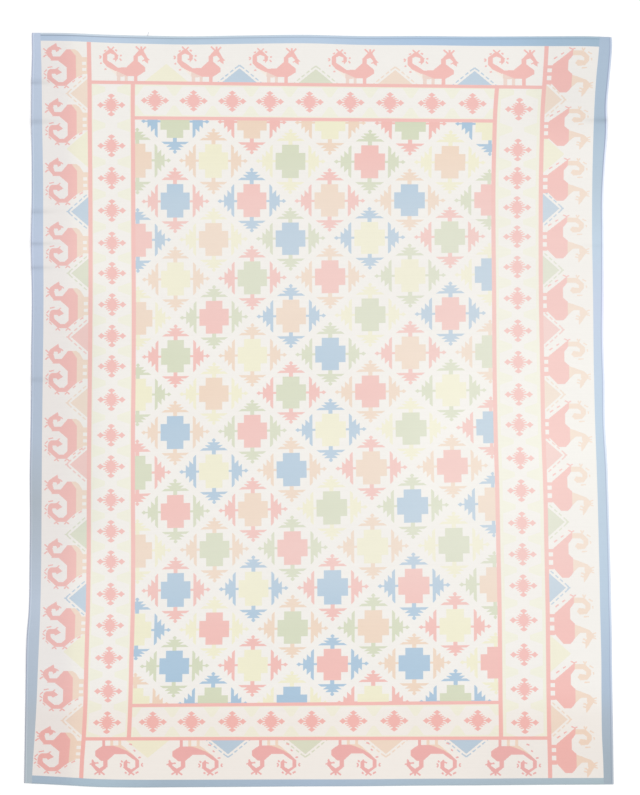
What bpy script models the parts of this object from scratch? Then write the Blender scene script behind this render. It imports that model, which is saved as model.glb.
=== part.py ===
"""Flat-woven cotton dhurrie rug, lying flat.

Units are metres, +Z is up. The rug lies in the XY plane: +Y is the head end,
-Y the foot end, and the warps run along Y. The origin is the middle of the
footprint, on the underside.

The rug is one piece of cloth. Its two ends are rolled hems and its two sides
are corded selvages, and all four are part of the same cloth, so they are only
thicker strips of it. The cloth isn't a true rectangle: the sides draw in
towards the head, and the ends bow a little.
"""

import bmesh
import bpy
import numpy as np

MM = 0.001

# Overall size of the lying rug, over its furthest points.
RUG_WIDTH = 2.82
RUG_LENGTH = 3.61

# Cloth and edges.
CLOTH_THICKNESS = 4.0 * MM
EDGE_THICKNESS = 6.0 * MM

# How the thickness runs inwards from any edge: (inset in mm, thickness in mm).
# The roll of the edge is followed by the groove of its stitching.
EDGE_PROFILE = (
    (0.0, 4.4),
    (3.0, 6.0),
    (9.0, 6.0),
    (12.0, 3.4),
    (20.0, 4.0),
)

# How far the two sides stand in from the full width:
# (up from the foot end in m, left side in mm, right side in mm).
SELVAGE_INSETS = (
    (0.00, 0, 0),
    (0.30, 4, 4),
    (0.55, 8, 8),
    (0.75, 13, 10),
    (0.85, 21, 13),
    (1.10, 26, 18),
    (1.35, 28, 25),
    (1.50, 27, 30),
    (1.70, 30, 41),
    (1.95, 34, 44),
    (2.10, 34, 49),
    (2.35, 37, 48),
    (2.65, 33, 48),
    (2.80, 36, 49),
    (3.00, 36, 40),
    (3.15, 34, 30),
    (3.28, 34, 31),
    (3.40, 35, 21),
    (3.50, 38, 12),
    (3.57, 37, 8),
    (3.61, 37, 10),
)

# How far the two ends stand in from the full length:
# (across from the left side in m, head end in mm, foot end in mm).
END_INSETS = (
    (0.00, 0, 21),
    (0.08, 0, 19),
    (0.20, 1, 13),
    (0.40, 9, 2),
    (0.55, 13, 0),
    (0.77, 17, 1),
    (1.05, 13, 3),
    (1.34, 10, 5),
    (1.60, 16, 6),
    (1.90, 16, 9),
    (2.15, 18, 10),
    (2.50, 17, 13),
    (2.72, 18, 14),
    (2.82, 24, 15),
)

# Low cockles where the cords have drawn the cloth up:
# (side, up from the foot end in m, half length in m, height in mm).
# A cockle is highest at the side and dies out COCKLE_REACH into the rug.
COCKLES = (
    ("left", 0.62, 0.22, 2.5),
    ("left", 1.95, 0.24, 3.0),
    ("left", 2.62, 0.24, 4.0),
    ("left", 3.22, 0.22, 4.0),
    ("right", 0.95, 0.24, 2.5),
    ("right", 1.60, 0.22, 3.0),
    ("right", 2.30, 0.26, 2.5),
    ("right", 3.16, 0.22, 4.0),
)
COCKLE_REACH = 0.30

# Cells of the sheet inside its edge strips.
CELLS_ACROSS = 22
CELLS_ALONG = 28

COTTON_COLOUR = (0.88, 0.87, 0.83, 1.0)
COTTON_ROUGHNESS = 0.92


def read_table(table, column, position):
    """Read one column at a position, on a smooth curve through the rows.

    The curve is a cubic between rows, with the slope of the neighbouring
    rows at each row.
    """
    stations = np.array([row[0] for row in table])
    values = np.array([row[column] for row in table], dtype=float)
    slopes = np.gradient(values, stations)
    index = int(np.clip(np.searchsorted(stations, position) - 1, 0, len(stations) - 2))
    span = stations[index + 1] - stations[index]
    t = (position - stations[index]) / span
    rise = values[index + 1] - values[index]
    start_slope = slopes[index] * span
    end_slope = slopes[index + 1] * span
    curve = start_slope * t + (3 * rise - 2 * start_slope - end_slope) * t**2
    return values[index] + curve + (start_slope + end_slope - 2 * rise) * t**3


def stations_over(length, cells):
    """Distances over a length: close rows in both edge strips, even ones between."""
    strip = [inset * MM for inset, _ in EDGE_PROFILE]
    inner = np.linspace(strip[-1], length - strip[-1], cells + 1)
    mirrored = [length - inset for inset in reversed(strip[:-1])]
    return strip[:-1] + list(inner) + mirrored


def cloth_thickness(from_side, from_end):
    """Thickness at a point, from its distance to the nearest side and end."""
    insets = [inset * MM for inset, _ in EDGE_PROFILE]
    thicknesses = [thickness * MM for _, thickness in EDGE_PROFILE]
    return np.interp(min(from_side, from_end), insets, thicknesses)


def cockle_height(across, along):
    """Rise of the underside: a smooth hump along the side, dying out inwards."""
    height = 0.0
    for side, middle, half_length, peak in COCKLES:
        inwards = across if side == "left" else RUG_WIDTH - across
        distance = abs(along - middle)
        if inwards < COCKLE_REACH and distance < half_length:
            hump = np.cos(0.5 * np.pi * distance / half_length) ** 2
            fade = np.cos(0.5 * np.pi * inwards / COCKLE_REACH) ** 2
            height += peak * MM * hump * fade
    return height


def cloth_point(across, along):
    """Underside point of the cloth at a distance across and along the rug."""
    left = read_table(SELVAGE_INSETS, 1, along) * MM
    right = read_table(SELVAGE_INSETS, 2, along) * MM
    head = read_table(END_INSETS, 1, across) * MM
    foot = read_table(END_INSETS, 2, across) * MM
    x = left + (RUG_WIDTH - left - right) * across / RUG_WIDTH - RUG_WIDTH / 2
    y = foot + (RUG_LENGTH - head - foot) * along / RUG_LENGTH - RUG_LENGTH / 2
    return x, y, cockle_height(across, along)


def make_cotton():
    """Undyed cotton, as the ground of the rug shows it."""
    material = bpy.data.materials.new("cotton")
    material.use_nodes = True
    shader = material.node_tree.nodes["Principled BSDF"]
    shader.inputs["Base Color"].default_value = COTTON_COLOUR
    shader.inputs["Roughness"].default_value = COTTON_ROUGHNESS
    shader.inputs["Metallic"].default_value = 0.0
    return material


def make_cloth(collection):
    """The whole rug: a grid laid to the outline and given its thickness."""
    across_stations = stations_over(RUG_WIDTH, CELLS_ACROSS)
    along_stations = stations_over(RUG_LENGTH, CELLS_ALONG)
    cells_x = len(across_stations) - 1
    cells_y = len(along_stations) - 1

    grid = bmesh.new()
    bmesh.ops.create_grid(grid, x_segments=cells_x, y_segments=cells_y, size=0.5)
    weights = []
    for vertex in grid.verts:
        across = across_stations[round((vertex.co.x + 0.5) * cells_x)]
        along = along_stations[round((vertex.co.y + 0.5) * cells_y)]
        from_side = min(across, RUG_WIDTH - across)
        from_end = min(along, RUG_LENGTH - along)
        weights.append(cloth_thickness(from_side, from_end) / EDGE_THICKNESS)
        vertex.co = cloth_point(across, along)

    mesh = bpy.data.meshes.new("cloth")
    grid.to_mesh(mesh)
    grid.free()

    cloth = bpy.data.objects.new("cloth", mesh)
    collection.objects.link(cloth)
    cloth.data.materials.append(make_cotton())

    build_up = cloth.vertex_groups.new(name="build_up")
    for index, weight in enumerate(weights):
        build_up.add([index], float(weight), "REPLACE")

    thickness = cloth.modifiers.new("thickness", "SOLIDIFY")
    thickness.thickness = EDGE_THICKNESS
    thickness.offset = 1.0
    thickness.vertex_group = build_up.name
    thickness.thickness_vertex_group = 0.0
    return cloth


def main():
    for leftover in list(bpy.data.objects):
        bpy.data.objects.remove(leftover, do_unlink=True)
    collection = bpy.data.collections.new("dhurrie_rug")
    bpy.context.scene.collection.children.link(collection)
    make_cloth(collection)


main()
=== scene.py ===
import bpy
import numpy as np
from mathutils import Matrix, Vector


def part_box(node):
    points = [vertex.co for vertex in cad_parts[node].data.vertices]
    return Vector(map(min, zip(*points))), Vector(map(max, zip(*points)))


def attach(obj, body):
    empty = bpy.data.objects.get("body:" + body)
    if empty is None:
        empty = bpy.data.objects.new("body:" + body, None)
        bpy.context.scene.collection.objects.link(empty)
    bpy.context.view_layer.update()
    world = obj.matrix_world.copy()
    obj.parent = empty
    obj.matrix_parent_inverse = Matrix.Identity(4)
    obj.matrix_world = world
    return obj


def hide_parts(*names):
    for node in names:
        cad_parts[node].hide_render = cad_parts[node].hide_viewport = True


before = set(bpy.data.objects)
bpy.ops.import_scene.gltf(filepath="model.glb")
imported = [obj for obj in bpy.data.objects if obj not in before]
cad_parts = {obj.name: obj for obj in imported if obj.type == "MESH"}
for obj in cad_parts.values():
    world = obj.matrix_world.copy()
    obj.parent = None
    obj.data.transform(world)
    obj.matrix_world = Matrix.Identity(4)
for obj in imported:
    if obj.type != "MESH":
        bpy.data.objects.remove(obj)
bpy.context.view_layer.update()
mm = 0.001
step = 4.8 * mm  # one step of the weaving chart, in which every figure below is drawn

clothLow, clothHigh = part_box("cloth")
clothWidth = clothHigh[0] - clothLow[0]
clothLength = clothHigh[1] - clothLow[1]
print(f"frame loaded: cloth {clothWidth:.3f} m by {clothLength:.3f} m")


# The cloth as it lies. Insets and heights are in mm, places along and across in m.
cloth = {
    # how the roll of the edge and the groove of its stitching run: inset, underside, top
    "edgeRoll": (
        (0.0, 1.3, 3.4), (1.0, 0.5, 4.8), (2.5, 0.1, 5.7), (5.0, 0.0, 6.0), (7.5, 0.0, 5.8),
        (9.5, 0.0, 5.0), (11.0, 0.0, 3.8), (12.5, 0.0, 3.4), (15.0, 0.0, 3.7), (20.0, 0.0, 4.0),
    ),
    # how far the sides draw in: up from the foot, left side, right side
    "selvageInsets": (
        (0.00, 0, 0), (0.30, 4, 4), (0.55, 8, 8), (0.75, 13, 10), (0.85, 21, 13), (1.10, 26, 18),
        (1.35, 28, 25), (1.50, 27, 30), (1.70, 30, 41), (1.95, 34, 44), (2.10, 34, 49),
        (2.35, 37, 48), (2.65, 33, 48), (2.80, 36, 49), (3.00, 36, 40), (3.15, 34, 30),
        (3.28, 34, 31), (3.40, 35, 21), (3.50, 38, 12), (3.57, 37, 8), (3.61, 37, 10),
    ),
    # how the ends bow: across from the left, head end, foot end
    "endInsets": (
        (0.00, 0, 21), (0.08, 0, 19), (0.20, 1, 13), (0.40, 9, 2), (0.55, 13, 0), (0.77, 17, 1),
        (1.05, 13, 3), (1.34, 10, 5), (1.60, 16, 6), (1.90, 16, 9), (2.15, 18, 10),
        (2.50, 17, 13), (2.72, 18, 14), (2.82, 24, 15),
    ),
    # low swells at the sides: side, up from the foot, half length, height
    "cockles": (
        ("left", 0.62, 0.22, 2.5), ("left", 1.95, 0.24, 3.0), ("left", 2.62, 0.24, 4.0),
        ("left", 3.22, 0.22, 4.0), ("right", 0.95, 0.24, 2.5), ("right", 1.60, 0.22, 3.0),
        ("right", 2.30, 0.26, 2.5), ("right", 3.16, 0.22, 4.0),
    ),
    "cockleReach": 0.30,
    # narrow creases that run in from the sides: side, up from the foot, half width, height
    "creases": (
        ("left", 3.375, 0.016, 3.0), ("left", 3.185, 0.018, 2.6), ("left", 2.755, 0.016, 2.4),
        ("left", 2.600, 0.015, 2.6), ("left", 2.485, 0.016, 2.4), ("left", 1.950, 0.018, 1.8),
        ("right", 3.190, 0.020, 2.6), ("right", 2.590, 0.018, 0.6),
    ),
    "creaseReach": 0.24,
}

# Where the stripes stand. Warps wander with the selvages and wefts are nearly straight.
stripes = {
    "hem": 20,  # mm from an edge to the flat of the cloth
    "width": 20,  # mm across a pink stripe along the sides
    "weftWidth": 16,  # mm across a pink stripe over the ends
    # up from the foot in m, then places across in mm: inner edge of the left blue band, middles
    # of the left outer, left inner, right inner and right outer stripes, and right blue band
    "sides": (
        (0.00, 36, 271, 488, 2284, 2517, 2773), (0.12, 42, 276, 492, 2281, 2515, 2770),
        (0.25, 50, 285, 501, 2281, 2512, 2764), (0.40, 58, 292, 507, 2279, 2509, 2762),
        (0.60, 66, 297, 512, 2277, 2507, 2761), (0.85, 76, 304, 519, 2274, 2504, 2755),
        (1.10, 81, 308, 521, 2269, 2499, 2750), (1.40, 83, 309, 520, 2263, 2493, 2742),
        (1.70, 85, 311, 520, 2255, 2483, 2732), (2.00, 89, 314, 523, 2250, 2478, 2725),
        (2.35, 92, 317, 524, 2248, 2472, 2721), (2.65, 91, 317, 522, 2245, 2471, 2717),
        (2.90, 90, 316, 521, 2245, 2472, 2718), (3.10, 87, 314, 520, 2249, 2476, 2722),
        (3.25, 85, 313, 519, 2254, 2480, 2727), (3.40, 83, 312, 520, 2265, 2490, 2736),
        (3.55, 79, 309, 520, 2273, 2499, 2750), (3.61, 77, 308, 520, 2275, 2501, 2754),
    ),
    # how deep the blue bands of the ends are at the left, the middle and the right
    "headBlue": (37, 40, 48),
    "footBlue": (39, 33, 31),
    # straight wefts: height at mid width in mm, rise over the field from left to right
    "footStripes": ((234, 3), (399, 15)),
    "headStripes": ((3196, -15), (3362, -20)),
    # rows of medallions from the head down, as the wefts above
    "rows": (
        (3181, -14), (2995, -12), (2806, 6), (2628, 18), (2442, 26), (2257, 27), (2072, 26),
        (1890, 23), (1711, 28), (1523, 37), (1336, 45), (1148, 31), (957, 34), (761, 19),
        (590, 23), (405, 15),
    ),
    # columns of medallions, as shares of the field's width
    "columns": (0.012, 0.116, 0.223, 0.329, 0.436, 0.545, 0.656, 0.767, 0.879, 0.989),
    # where the field ends, in columns and rows of medallions: left, right and head
    "fieldEnds": (-0.06, 9.07, -0.04),
}

# Yarns as they have faded, in linear colour. The letters are the field's pink, blue, green,
# peach and yellow.
yarns = {
    "white": (0.800, 0.778, 0.742),
    "P": (0.793, 0.545, 0.510),
    "B": (0.482, 0.580, 0.668),
    "G": (0.652, 0.672, 0.545),
    "E": (0.778, 0.652, 0.551),
    "Y": (0.786, 0.763, 0.612),
    "coral": (0.800, 0.470, 0.438),
    "peach": (0.790, 0.640, 0.530),
    "stripePink": (0.800, 0.470, 0.440),
    "bandBlue": (0.423, 0.521, 0.626),
    "footCoral": (0.765, 0.442, 0.428),
    "cream": (0.820, 0.755, 0.685),
    "palePink": (0.777, 0.617, 0.554),
    "wedge": (0.785, 0.777, 0.660),
}

# Each medallion's two yarns, cross first and teeth second, by rows from the head down.
medallionYarns = (
    "GB EP YE GP YB", "EG YE GY PG EY", "BP PB EP BE PG", "PB EY BG YB GP",
    "YE GP PE YG BY", "EY PG EB GY PB", "GP YE BG EP GE", "YG EY GP PE YG",
    "BE PG YB GY BP", "GP YB BE EP PE", "PG EP GY BG EB", "EY GE PG YE GY",
    "BP YB BP PB EG", "YB PY GE EG YP", "BG YP PB BE PY", "YE GB BY YP GB",
)

# Where the border figures stand, in mm: across from the left for the ends, up from the foot
# for the sides. A bird has its crest's place, stretch along, lift in steps and stretch in height.
birds = {
    "head": (
        (560, 0.97, -0.5, 1.02), (920, 0.99, -0.5, 1.04), (1280, 0.99, 0.5, 0.99), (1655, 0.97, 0, 1.0),
        (2035, 1.06, 0.5, 0.99), (2420, 1.06, 1.5, 0.99),
    ),
    "foot": (
        (360, 0.94, 0, 1.0), (730, 0.99, 1, 0.98), (1110, 0.95, 0, 1.0), (1490, 0.97, -1, 1.05),
        (1870, 0.99, -0.5, 1.05), (2255, 0.98, 1, 1.01),
    ),
    "left": (
        (3515, 0.89, 1, 1.03), (3250, 0.93, 1, 1.0), (2965, 0.94, 1, 1.01), (2660, 0.92, 1.5, 0.99),
        (2370, 0.97, 0.5, 1.01), (2070, 1.0, 1, 1.0), (1745, 0.97, 0, 1.03), (1445, 0.98, 0.5, 1.01),
        (1140, 1.0, 0, 1.02), (840, 0.94, 0, 1.03), (540, 0.92, 0.5, 1.05), (245, 0.94, 0, 1.11),
    ),
    "right": (
        (3360, 0.99, 0, 1.0), (3100, 0.87, -0.5, 1.01), (2840, 0.94, 0, 1.0), (2565, 0.96, -0.5, 1.01),
        (2270, 1.0, -1, 1.02), (1965, 1.0, -0.5, 1.01), (1665, 1.02, -1, 1.02), (1360, 1.04, 0, 0.98),
        (1040, 1.05, 0, 0.97), (725, 1.09, 0, 0.99), (415, 1.04, 0, 0.99), (105, 1.03, 0, 0.98),
    ),
}
peaks = {  # middle and yarn of each
    "head": ((680, "Y"), (1030, "B"), (1395, "G"), (1775, "E"), (2155, "B")),
    "foot": ((590, "Y"), (975, "B"), (1345, "G"), (1730, "E"), (2115, "B")),
    "left": (
        (3320, "E"), (3055, "Y"), (2755, "B"), (2460, "G"), (2155, "P"), (1840, "E"),
        (1545, "P"), (1210, "G"), (905, "B"), (650, "Y"), (320, "E"),
    ),
    "right": (
        (3290, "E"), (3030, "Y"), (2770, "B"), (2475, "G"), (2190, "P"), (1880, "E"),
        (1590, "P"), (1270, "G"), (955, "B"), (640, "Y"), (325, "E"),
    ),
}
guls = {  # middle of each
    "head": (625, 810, 995, 1175, 1365, 1560, 1750, 1950, 2145),
    "foot": (615, 800, 995, 1180, 1375, 1575, 1770, 1975, 2170),
    "left": (
        3265, 3070, 2915, 2760, 2605, 2460, 2310, 2160, 2015, 1855,
        1685, 1535, 1375, 1225, 1080, 925, 775, 620, 460, 310,
    ),
    "right": (
        3245, 3050, 2915, 2775, 2635, 2490, 2340, 2185, 2035, 1880,
        1735, 1575, 1420, 1265, 1115, 965, 800, 635, 470, 310,
    ),
}

# How the cloth has aged, and the light and shade painted on it, as gains of red, green and blue. Places
# are in m from the left and foot.
wearAndShade = {
    # lighter and darker areas, painted light and shade along with fading and soil: from and to across,
    # from and to up, softness, gains
    "areas": (
        (-1.00, 0.22, -1.00, 5.00, 0.03, 0.935, 0.925, 0.945),
        (-1.00, 0.24, 1.10, 2.30, 0.20, 0.97, 0.955, 0.945),
        (0.25, 0.34, 1.20, 2.40, 0.05, 0.91, 0.93, 0.94),
        (1.80, 4.00, 1.28, 2.14, 0.20, 1.03, 1.035, 1.03),
        (2.45, 4.00, 3.15, 5.00, 0.08, 0.94, 0.94, 0.945),
        (-1.00, 4.00, -1.00, 0.40, 0.05, 0.985, 0.95, 0.93),
        (2.20, 4.00, -1.00, 0.30, 0.15, 0.95, 0.955, 0.96),
    ),
    # blue bands of the sides: up, left gains, right gains
    "blueSides": (
        (0.1, 1.03, 1.00, 0.91, 0.83, 0.83, 0.80), (0.5, 1.00, 0.96, 0.92, 0.92, 0.92, 0.95),
        (0.9, 1.12, 1.06, 1.03, 1.06, 1.06, 1.06), (1.4, 0.97, 0.91, 0.84, 1.11, 1.09, 1.06),
        (1.7, 1.04, 1.01, 1.00, 1.13, 1.12, 1.10), (2.3, 1.08, 1.04, 1.05, 1.20, 1.12, 1.13),
        (2.6, 1.16, 1.10, 1.12, 1.16, 1.14, 1.11), (2.9, 1.09, 1.07, 1.06, 1.04, 1.03, 1.00),
        (3.2, 1.14, 1.09, 1.08, 0.94, 0.96, 0.96), (3.6, 1.20, 1.14, 1.15, 0.94, 0.95, 0.98),
    ),
    # blue bands of the ends: across, head gains, foot gains
    "blueEnds": (
        (0.0, 1.05, 1.06, 1.08, 0.86, 0.90, 0.90), (0.4, 1.12, 1.10, 1.12, 0.91, 0.97, 0.96),
        (0.7, 1.02, 1.04, 1.04, 0.82, 0.86, 0.87), (1.4, 1.06, 1.07, 1.10, 0.87, 0.91, 0.96),
        (1.9, 0.91, 0.98, 1.07, 0.89, 0.93, 0.92), (2.3, 0.85, 0.94, 1.01, 0.92, 0.94, 0.90),
        (2.8, 0.80, 0.89, 0.90, 0.93, 0.96, 0.88),
    ),
    # how strong the dyes still are, towards the left and the right: in the field by rows from
    # the head down, in the borders by metres up from the foot
    "fieldStrength": (
        (0, 1.36, 1.34), (1, 1.24, 1.14), (2, 1.06, 1.00), (3, 1.03, 0.91), (5, 1.14, 0.87),
        (6, 1.30, 0.83), (7, 1.35, 0.90), (8, 1.18, 0.90), (10, 1.22, 0.89), (11, 1.10, 0.86),
        (12, 1.14, 1.00), (13, 1.28, 1.20), (14, 1.32, 1.24), (15, 1.40, 1.28),
    ),
    "borderStrength": (
        (0.25, 1.12, 1.08), (0.45, 1.03, 1.00), (0.80, 0.98, 0.90), (1.10, 0.94, 0.76),
        (2.10, 0.98, 0.74), (2.60, 0.93, 0.76), (3.00, 1.00, 0.90), (3.40, 1.02, 1.00),
    ),
    "fieldSlope": 1.4,  # how much faster the field's strength changes across than the borders'
    # pale cords, and painted shade on the rolls and in the grooves: inset in mm, gains
    "headCordAndShade": (
        (0, 1.22, 1.14, 1.02), (5, 1.28, 1.18, 1.06), (7.5, 1.10, 1.06, 1.0), (9.5, 0.60, 0.60, 0.62),
        (11, 0.56, 0.56, 0.58), (12.5, 0.80, 0.80, 0.80), (15, 1.0, 1.0, 1.0),
    ),
    "footRollShade": ((0, 0.90, 0.90, 0.88), (5, 0.97, 0.97, 0.96), (9.5, 1.0, 1.0, 1.0)),
    "leftCordAndShade": (
        (0, 0.70, 0.66, 0.72), (2.5, 0.84, 0.80, 0.86), (5, 1.0, 0.98, 1.0), (9.5, 1.22, 1.20, 1.16),
        (11, 1.0, 1.0, 1.0),
    ),
    "rightCordAndShade": (
        (0, 1.80, 1.55, 1.48), (5, 1.80, 1.55, 1.48), (7.5, 1.30, 1.20, 1.25), (9.5, 0.64, 0.58, 0.74),
        (11, 0.76, 0.70, 0.82), (12.5, 1.0, 1.0, 1.0),
    ),
    # how strongly the head's roll and the right cord, with their painted shade, show along their length
    "headShow": ((0.0, 1.0), (0.5, 0.75), (1.1, 0.5), (1.6, 0.5), (2.8, 0.3)),
    "rightShow": ((0.0, 0.3), (1.2, 0.45), (2.4, 0.6), (3.2, 1.0), (3.6, 0.4)),
    "creaseShade": 0.07,  # how much painted shade darkens a crease for each mm of its height
    "creaseShadeWidth": 0.6,  # width of its dark line of painted shade, as a share of its own
    "creaseReach": 0.09,
}


# The cloth's mesh
def readTable(table, column, places):
    # smooth cubic between the table's rows: v0 + s0 t + (3d - 2 s0 - s1) t^2 + (s0 + s1 - 2d) t^3
    stations = np.array([row[0] for row in table], dtype=float)
    values = np.array([row[column] for row in table], dtype=float)
    slopes = np.gradient(values, stations)
    index = np.clip(np.searchsorted(stations, places) - 1, 0, len(stations) - 2)
    span = stations[index + 1] - stations[index]
    t = np.clip((places - stations[index]) / span, 0, 1)
    rise = values[index + 1] - values[index]
    s0, s1 = slopes[index] * span, slopes[index + 1] * span
    return values[index] + s0 * t + (3 * rise - 2 * s0 - s1) * t**2 + (s0 + s1 - 2 * rise) * t**3


def layStations(cells):
    # line numbers of all grid lines: span k between stripes k and k + 1 is cut in cells[k],
    # and the first and last spans follow the roll of the edge
    roll = np.array([row[0] for row in cloth["edgeRoll"]]) / cloth["edgeRoll"][-1][0]
    parts = [roll[:-1]]
    for k, count in enumerate(cells[1:-1], start=1):
        parts.append(k + np.arange(count) / count)
    last = len(cells)
    parts.append((last - roll)[::-1])
    return np.concatenate(parts)


def between(lines, numbers):
    # rows of lines read at fractional line numbers: (1 - f) line k + f line (k + 1)
    k = np.minimum(numbers.astype(int), len(lines) - 2)
    f = (numbers - k).reshape((-1,) + (1,) * (lines.ndim - 1))
    return (1 - f) * lines[k] + f * lines[k + 1]


columnCount = len(stripes["columns"])
rowCount = len(stripes["rows"])
sideLines = 7  # stripe edges on each side of the field
leftEnd, rightEnd, headEnd = stripes["fieldEnds"]
# into how many cells each span is cut, from the left and from the foot
acrossCells = [9, 2, 9, 1, 8, 1, 1] + [8] * (columnCount - 1) + [1, 1, 8, 1, 10, 2, 9]
alongCells = [9, 1, 16, 1, 12, 1] + [15] * (rowCount - 1) + [1, 1, 12, 1, 15, 2, 9]
acrossNumbers = layStations(acrossCells)
alongNumbers = layStations(alongCells)
acrossSpan = (0.5 * (acrossNumbers[1:] + acrossNumbers[:-1])).astype(int)
alongSpan = (0.5 * (alongNumbers[1:] + alongNumbers[:-1])).astype(int)


def sideStripes(heights):
    # x of every stripe's edges for each height, and the field shared out between the inner ones
    left = readTable(cloth["selvageInsets"], 1, heights) * mm
    right = clothWidth - readTable(cloth["selvageInsets"], 2, heights) * mm
    hem, half = stripes["hem"] * mm, stripes["width"] * mm / 2
    leftBlue, leftOuter, leftInner, rightInner, rightOuter, rightBlue = [
        readTable(stripes["sides"], k, heights) * mm for k in range(1, 7)]
    lines = [left, left + hem, leftBlue, leftOuter - half, leftOuter + half]
    lines += [leftInner - half, leftInner + half]
    lines += [leftInner + share * (rightInner - leftInner) for share in stripes["columns"]]
    lines += [rightInner - half, rightInner + half, rightOuter - half, rightOuter + half]
    lines += [rightBlue, right - hem, right]
    return np.array(lines)


def endStripes(acrosses):
    # y of every stripe's edges for each place across, and the rows of medallions between
    foot = readTable(cloth["endInsets"], 2, acrosses) * mm
    head = clothLength - readTable(cloth["endInsets"], 1, acrosses) * mm
    hem, half = stripes["hem"] * mm, stripes["weftWidth"] * mm / 2
    places = (0, clothWidth / 2, clothWidth)
    footBlue, headBlue = [
        np.interp(acrosses, places, stripes[name]) * mm for name in ("footBlue", "headBlue")]
    leftInner, rightInner = [place * mm for place in stripes["sides"][9][3:5]]  # at mid length
    lean = (acrosses - 0.5 * (leftInner + rightInner)) / (rightInner - leftInner)
    footWefts, rowWefts, headWefts = [
        [height * mm + rise * mm * lean for height, rise in stripes[name]]
        for name in ("footStripes", "rows", "headStripes")]
    lines = [foot, foot + hem, foot + footBlue]
    lines += [weft + reach for weft in footWefts for reach in (-half, half)]
    lines += rowWefts[-2::-1]
    lines += [weft + reach for weft in headWefts for reach in (-half, half)]
    lines += [head - headBlue, head - hem, head]
    return np.array(lines)


midStripes = sideStripes(np.array([clothLength / 2]))[:, 0]
acrosses = between(midStripes, acrossNumbers)
endLines = endStripes(acrosses)
heights = between(endLines[:, len(acrosses) // 2], alongNumbers)
sideLinesX = sideStripes(heights)
gridX = between(sideLinesX, acrossNumbers).T  # one row for each station along, one column across
gridY = between(endLines, alongNumbers)

# Every line's place in rows and in columns of medallions
rowHeights = [height * mm for height, _ in stripes["rows"]]
rowsDown = np.interp(heights, rowHeights[::-1], np.arange(rowCount)[::-1])
rowsDown = np.where(heights > rowHeights[0], headEnd, rowsDown)
columnsIn = np.interp(acrossNumbers, np.arange(sideLines - 1, sideLines + columnCount + 1),
                      np.concatenate(([leftEnd], np.arange(columnCount), [rightEnd])))


def readLine(table, column, places):
    # straight between the table's rows
    rows = np.array(table)
    return np.interp(places, rows[:, 0], rows[:, column])


def inFrom(side):
    # distance in from a side, along the wefts
    return gridX - gridX[:, :1] if side == "left" else gridX[:, -1:] - gridX


def cosineFade(distance, reach):
    # cos(pi d / 2 r)^2: 1 at no distance, 0 from the reach on
    return np.cos(0.5 * np.pi * np.clip(distance / reach, 0, 1)) ** 2


def clothHeights():
    # swells + creases + roll(inset), for the underside and the top, inset from the nearest edge
    sideInset = np.minimum(acrosses - acrosses[0], acrosses[-1] - acrosses)
    endInset = np.minimum(heights - heights[0], heights[-1] - heights)
    inset = np.minimum(sideInset[None, :], endInset[:, None]) / mm
    swell = np.zeros_like(gridX)
    for side, middle, halfLength, peak in cloth["cockles"]:
        hump = cosineFade(np.abs(gridY - middle), halfLength)
        swell += peak * mm * hump * cosineFade(inFrom(side), cloth["cockleReach"])
    for side, middle, halfWidth, peak in cloth["creases"]:
        hump = np.exp(-((gridY - middle) / halfWidth) ** 2)
        swell += peak * mm * hump * cosineFade(inFrom(side), cloth["creaseReach"])
    return [readLine(cloth["edgeRoll"], column, inset) * mm + swell for column in (1, 2)]


gridUnder, gridTop = clothHeights()
rowsIn, columnsAcross = gridX.shape
print(f"cloth grid: {rowsIn} by {columnsAcross} lines")


# Cells: each face's four corners on the grid, top first, then underside, then the rim
cellRow, cellColumn = np.meshgrid(np.arange(rowsIn - 1), np.arange(columnsAcross - 1), indexing="ij")
firstCorner = (cellRow * columnsAcross + cellColumn).ravel()
topCorners = firstCorner[:, None] + np.array([0, 1, columnsAcross + 1, columnsAcross])
underCorners = topCorners[:, [0, 3, 2, 1]]
gridIndex = np.arange(rowsIn * columnsAcross).reshape(rowsIn, columnsAcross)
cellIndex = np.arange(len(firstCorner)).reshape(rowsIn - 1, columnsAcross - 1)
rim = np.concatenate((gridIndex[0, :-1], gridIndex[:-1, -1], gridIndex[-1, :0:-1], gridIndex[:0:-1, 0]))
rimEnds = np.roll(rim, -1)
rimCells = np.concatenate((cellIndex[0, :], cellIndex[:, -1], cellIndex[-1, ::-1], cellIndex[::-1, 0]))
rimCorners = np.stack((rim, rimEnds, rimEnds, rim), axis=1)
faceCorners = np.concatenate((topCorners, underCorners, rimCorners))
faceCells = np.concatenate((cellIndex.ravel(), cellIndex.ravel(), rimCells))
pointCount = gridX.size
underside = np.array([pointCount, pointCount, 0, 0])  # a rim face's first two corners are below
faceVertices = np.concatenate((topCorners, underCorners + pointCount, rimCorners + underside))

# Zones by spans: 0 and 10 blue, 1 and 9 birds, 2 and 8 pink, 3 and 7 guls, 4 and 6 pink, 5 field
zoneOfAcross = np.array([0, 0, 1, 2, 3, 4] + [5] * (columnCount + 1) + [6, 7, 8, 9, 10, 10])
zoneOfAlong = np.array([0, 0, 1, 2, 3, 4] + [5] * rowCount + [6, 7, 8, 9, 10, 10])
acrossZone = zoneOfAcross[acrossSpan][None, :].repeat(rowsIn - 1, axis=0)
alongZone = zoneOfAlong[alongSpan][:, None].repeat(columnsAcross - 1, axis=1)

# Finishes by number, in the order of rugMaterials
fieldCloth, endGulCloth, sideGulCloth, pinkCloth = range(4)
headCloth, footCloth, leftCloth, rightCloth, blueCloth = range(4, 9)


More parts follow.
